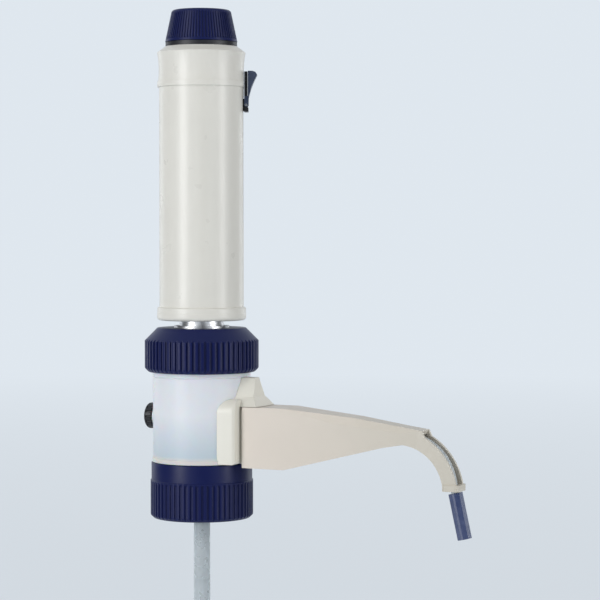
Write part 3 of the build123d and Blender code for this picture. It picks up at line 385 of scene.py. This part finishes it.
def frosted_block(name):
    """The valve block's frosted shell: milky, bluish and darker towards the bottom, with a warm lip."""
    recipe = Recipe(name, (0.90, 0.92, 0.96), 0.42)
    bluish_lower_colour = recipe.mixed(recipe.band("Z", *BLUISH_LOWER_RANGE), (0.62, 0.71, 0.78), (0.86, 0.89, 0.95))
    shade = recipe.mixed(recipe.band("Z", *LIP_RANGE), (0.80, 0.77, 0.75), bluish_lower_colour)
    recipe.link(shade, "Base Color")
    recipe.uneven_gloss(0.05)
    recipe.bumps((recipe.noise(900.0, 3.0), 0.02 * MM), (recipe.noise(70.0, 2.0), 0.06 * MM))
    recipe.set(Transmission_Weight=0.14, IOR=1.49, Subsurface_Weight=0.35, Subsurface_Scale=2 * MM)
    return recipe.material


def polished_metal(name, colour, roughness, turned_lines=0.004):
    """Metal turned on a lathe, with fine rings round the axis."""
    recipe = Recipe(name, colour, roughness)
    recipe.link(recipe.mottled(0.03, 30.0), "Base Color")
    rings = recipe.noise(60.0, 6.0, (1, 1, 90))
    recipe.link(recipe.ranged(rings, roughness * 0.7, roughness * 1.4), "Roughness")
    recipe.bumps((rings, turned_lines * MM))
    recipe.set(Metallic=1.0)
    return recipe.material


def milky_tube(name, colour):
    """Fluoropolymer tube, translucent and waxy."""
    recipe = Recipe(name, colour, 0.3)
    recipe.link(recipe.mottled(0.04, 80.0), "Base Color")
    recipe.uneven_gloss(0.06)
    recipe.bumps((recipe.noise(400.0, 2.0, (1, 1, 0.1)), 0.01 * MM))
    recipe.set(Transmission_Weight=0.45, IOR=1.36)
    return recipe.material


def clear_glass(name, colour):
    recipe = Recipe(name, colour, 0.03)
    recipe.link(recipe.mottled(0.02, 40.0), "Base Color")
    recipe.bumps((recipe.noise(120.0, 1.0), 0.005 * MM))
    recipe.set(Transmission_Weight=1.0, IOR=1.47)
    return recipe.material


def rubber(name, colour):
    recipe = Recipe(name, colour, 0.75)
    recipe.link(recipe.mottled(0.12, 200.0), "Base Color")
    recipe.uneven_gloss(0.08)
    recipe.bumps((recipe.noise(2500.0, 3.0), 0.02 * MM))
    return recipe.material


def make_materials():
    """Every material, by the record's slot."""
    navy = (0.0040, 0.0085, 0.066)
    black = (0.008, 0.008, 0.011)
    slate = (0.026, 0.040, 0.085)
    closure_blue = (0.035, 0.055, 0.145)
    cover_root = (0.715, 0.645, 0.57)
    # The cover's tip colour is a painted shade, darker than its root
    cover_tip_painted_shade = (0.60, 0.565, 0.485)
    # The lighter edge colours below are rubbed wear together with a painted edge highlight
    closure_worn_and_lit = (0.10, 0.12, 0.22)
    return {
        "navy_plastic": moulded("navy_plastic", navy, 0.36, specular=0.2, worn_and_lit=(0.02, 0.035, 0.15)),
        "ivory_plastic": moulded("ivory_plastic", (0.74, 0.725, 0.67), 0.30),
        "cream_plastic": moulded("cream_plastic", (0.755, 0.735, 0.655), 0.34),
        "spout_plastic": moulded("spout_plastic", cover_root, 0.38, specular=0.4, painted_tip_shade=cover_tip_painted_shade),
        "frosted_plastic": frosted_block("frosted_block"),
        "white_fluoropolymer": moulded("white_fluoropolymer", (0.80, 0.80, 0.79), 0.45, specular=0.35),
        "clear_fluoropolymer": milky_tube("clear_fluoropolymer", (0.74, 0.80, 0.83)),
        "polished_tube": polished_metal("polished_tube", (0.80, 0.80, 0.81), 0.34),
        "steel": polished_metal("steel", (0.55, 0.55, 0.57), 0.28, 0.01),
        "clear_glass": clear_glass("clear_glass", (0.93, 0.97, 0.98)),
        "ruby_glass": clear_glass("ruby_glass", (0.72, 0.05, 0.09)),
        "black_rubber": rubber("black_rubber", (0.018, 0.018, 0.02)),
        "black_plastic": moulded("black_plastic", black, 0.42, specular=0.4, worn_and_lit=(0.03, 0.03, 0.035)),
        "slate_plastic": moulded("slate_plastic", slate, 0.38, worn_and_lit=(0.07, 0.09, 0.14)),
        "closure_plastic": moulded("closure_plastic", closure_blue, 0.30, specular=0.6, worn_and_lit=closure_worn_and_lit),
        "scale_film": moulded("scale_film", (0.80, 0.80, 0.77), 0.22),
    }


def dress_nodes(materials):
    """Gives each CAD node the material of its slot."""
    for row in frame["record"]["subparts"]:
        mesh = nodes[row["node"]].data
        mesh.materials.clear()
        mesh.materials.append(materials[row["material_slot"]])


# Meshes

ARC_STEPS = 6
PLAIN_SEGMENTS = 240
RIB_SEGMENTS = 12
SHARP_ANGLE = math.radians(38)

# A rib's crown and the slope beside it, in shares of half the pitch, and its arch, in shares of its depth
CROWN_WIDTH = 0.46
CROWN_SLOPE = 0.26
CROWN_ARCH = 0.10


def link_mesh(name, vertices, faces, material):
    """A new piece with its normals outwards, shaded smooth between its sharp edges."""
    mesh = bpy.data.meshes.new(name)
    mesh.from_pydata(vertices, [], faces)
    shape = bmesh.new()
    shape.from_mesh(mesh)
    bmesh.ops.recalc_face_normals(shape, faces=shape.faces)
    shape.to_mesh(mesh)
    shape.free()
    mesh.shade_smooth()
    mesh.set_sharp_from_angle(angle=SHARP_ANGLE)
    mesh.materials.append(material)
    piece = bpy.data.objects.new(name, mesh)
    bpy.context.scene.collection.objects.link(piece)
    return piece


def rounded(corners):
    """Points of a closed outline with rounded corners, each given as (x, y, radius)."""
    points = []
    for number, (x, y, radius) in enumerate(corners):
        corner = Vector((x, y))
        if not radius:
            points.append(corner)
            continue
        to_last = (Vector(corners[number - 1][:2]) - corner).normalized()
        to_next = (Vector(corners[(number + 1) % len(corners)][:2]) - corner).normalized()
        half = to_last.angle(to_next) / 2
        centre = corner + (to_last + to_next).normalized() * radius / math.sin(half)
        start = corner + to_last * radius / math.tan(half) - centre
        turn = start.angle_signed(corner + to_next * radius / math.tan(half) - centre)
        for step in range(ARC_STEPS + 1):
            angle = -turn * step / ARC_STEPS
            cosine, sine = math.cos(angle), math.sin(angle)
            spoke = Vector((start.x * cosine - start.y * sine, start.x * sine + start.y * cosine))
            points.append(centre + spoke)
    return points


def smooth_step(value):
    """A soft rise from 0 at 0 to 1 at 1."""
    value = max(0.0, min(1.0, value))
    return value * value * (3 - 2 * value)


class Ribs:
    """Rounded ribs round a turned piece.

    They are full up to fade_start and gone at fade_end, and at the foot they start at low_start and are full
    from low_end on. Their crest comes in by the taper for each unit of height.
    """

    def __init__(self, count, crest, depth, fade_start, fade_end, low_start=None, low_end=None, taper=0.0):
        self.count = count
        self.crest = crest
        self.depth = depth
        self.fades = (fade_start, fade_end, low_start, low_end)
        self.taper = taper

    def strength(self, height):
        fade_start, fade_end, low_start, low_end = self.fades
        strength = 1 - smooth_step((height - fade_start) / (fade_end - fade_start))
        if low_end is not None:
            strength *= smooth_step((height - low_start) / (low_end - low_start))
        return strength

    def radius(self, turn, height):
        """How far out the ribbed surface lies at this turn, in shares of a whole one."""
        across = abs((turn * self.count) % 1.0 - 0.5) * 2
        crown = 1 - smooth_step((across - CROWN_WIDTH) / CROWN_SLOPE)
        groove = self.depth * self.strength(height) * (1 - crown * (1 - CROWN_ARCH * across * across))
        return self.crest - self.taper * height - groove


def turned(name, outline, material, ribs=None):
    """A piece turned round Z from a closed outline of (radius, height), with ribs where given."""
    segments = ribs.count * RIB_SEGMENTS if ribs else PLAIN_SEGMENTS
    vertices = []
    for step in range(segments):
        angle = 2 * math.pi * step / segments
        for radius, height in outline:
            if ribs:
                radius = min(radius, ribs.radius(step / segments, height))
            vertices.append((radius * math.cos(angle), radius * math.sin(angle), height))
    count = len(outline)
    faces = []
    for step in range(segments):
        near = step * count
        far = (step + 1) % segments * count
        for row in range(count):
            above = (row + 1) % count
            faces.append((near + row, far + row, far + above, near + above))
    return link_mesh(name, vertices, faces, material)


def subdivided(outline, low, high, step):
    """The outline with extra points along its long upright runs between two heights."""
    points = []
    for number, point in enumerate(outline):
        points.append(point)
        following = outline[(number + 1) % len(outline)]
        rise = following.y - point.y
        if abs(rise) > 2 * step and min(point.y, following.y) < high and max(point.y, following.y) > low:
            count = int(abs(rise) / step)
            for part in range(1, count):
                points.append(point.lerp(following, part / count))
    return points


def outline_of(corners):
    """A rounded outline in metres from corners in millimetres."""
    return rounded([(x * MM, y * MM, radius * MM) for x, y, radius in corners])


def replace_node(piece, node, body):
    """Shows the piece in place of a CAD node, on the same body."""
    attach(piece, body)
    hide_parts(node)


# Ribbed and turned pieces, with their sizes in millimetres as in the CAD model

def make_collar(materials):
    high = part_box("bottle_collar")[1]
    crest, top = high.x / MM, high.z / MM
    bore, mouth = 22.9, 20.3
    lip = top - 4.5
    rib_top = 19.5
    band = crest - 0.45
    outline = outline_of(
        [
            (bore, 0, 0.3),
            (crest - 1.6, 0, 0.7),
            (crest, 1.6, 0.9),
            (crest, rib_top, 0.22),
            (band, rib_top + 0.35, 0.1),
            (band, top, 0.45),
            (mouth, top, 0.3),
            (mouth, lip, 0.2),
            (bore, lip, 0),
        ]
    )
    outline = subdivided(outline, 0, rib_top * MM, 0.3 * MM)
    ribs = Ribs(58, crest * MM, 0.72 * MM, (rib_top - 1.5) * MM, (rib_top - 0.1) * MM)
    piece = turned("collar_shell", outline, materials["navy_plastic"], ribs)
    replace_node(piece, "bottle_collar", "collar")


def make_nut(materials):
    low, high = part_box("union_nut")
    crest = high.x / MM
    bottom, top = low.z / MM, high.z / MM
    bore, hole = 25.5, 12.9
    shoulder = 91.4
    ceiling = 91.8
    outline = outline_of(
        [
            (bore, bottom, 0.3),
            (crest - 2.0, bottom, 1.2),
            (crest, bottom + 2.0, 1.4),
            (crest, shoulder, 0.35),
            (22.9, top, 0.5),
            (hole, top, 0.15),
            (hole, ceiling, 0),
            (bore, ceiling, 0),
        ]
    )
    outline = subdivided(outline, (shoulder - 1) * MM, top * MM, 0.15 * MM)
    ribs = Ribs(61, crest * MM, 0.92 * MM, (shoulder + 3) * MM, (shoulder + 4) * MM)
    piece = turned("nut_shell", outline, materials["navy_plastic"], ribs)
    replace_node(piece, "union_nut", "nut")


def make_knob(materials):
    low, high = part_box("knob")
    bottom, top = low.z / MM, high.z / MM
    foot = high.x / MM
    crown = 15.2
    wall = 2.6
    hub, bore = 6.5, 3.5
    axis = 0.01
    slope = (foot - crown) / (top - bottom)
    outline = outline_of(
        [
            (hub, bottom, 0.2),
            (bore, bottom, 0),
            (bore, top - 4, 0),
            (axis, top - 4, 0),
            (axis, top, 0),
            (crown - 0.1, top, 1.7),
            (foot - slope * 1.0, bottom + 1.0, 0.3),
            (foot, bottom + 0.75, 0.25),
            (foot, bottom, 0.25),
            (foot - wall, bottom, 0.2),
            (crown - wall, top - 3, 0.8),
            (hub, top - 3, 0.4),
        ]
    )
    outline = subdivided(outline, (bottom + 1) * MM, top * MM, 0.35 * MM)
    fades = ((top - 2.1) * MM, (top - 0.6) * MM, (bottom + 1.0) * MM, (bottom + 1.7) * MM)
    ribs = Ribs(72, (foot + slope * bottom) * MM, 0.5 * MM, *fades, slope)
    piece = turned("knob_shell", outline, materials["navy_plastic"], ribs)
    replace_node(piece, "knob", "adjuster")


def make_bottom_ring(materials):
    low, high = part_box("bottom_ring")
    bottom = low.z / MM
    outer = high.x / MM
    step = outer - 0.12
    shoulder = 108.7
    spigot, socket, hole = 19.65, 17.15, 14.1
    outline = outline_of(
        [
            (hole, bottom, 0.2),
            (outer, bottom, 1.7),
            (outer, bottom + 3.6, 0),
            (step, bottom + 3.75, 0),
            (step, shoulder, 0.9),
            (spigot, shoulder, 0),
            (spigot, shoulder + 6, 0.3),
            (socket, shoulder + 6, 0.3),
            (socket, bottom + 2.4, 0),
            (hole, bottom + 2.4, 0),
        ]
    )
    piece = turned("ring_shell", outline, materials["ivory_plastic"])
    replace_node(piece, "bottom_ring", "plunger")


make_camera()
make_studio()
materials = make_materials()
dress_nodes(materials)
make_collar(materials)
make_nut(materials)
make_knob(materials)
make_bottom_ring(materials)

bpy.context.scene.view_settings.view_transform = "Standard"
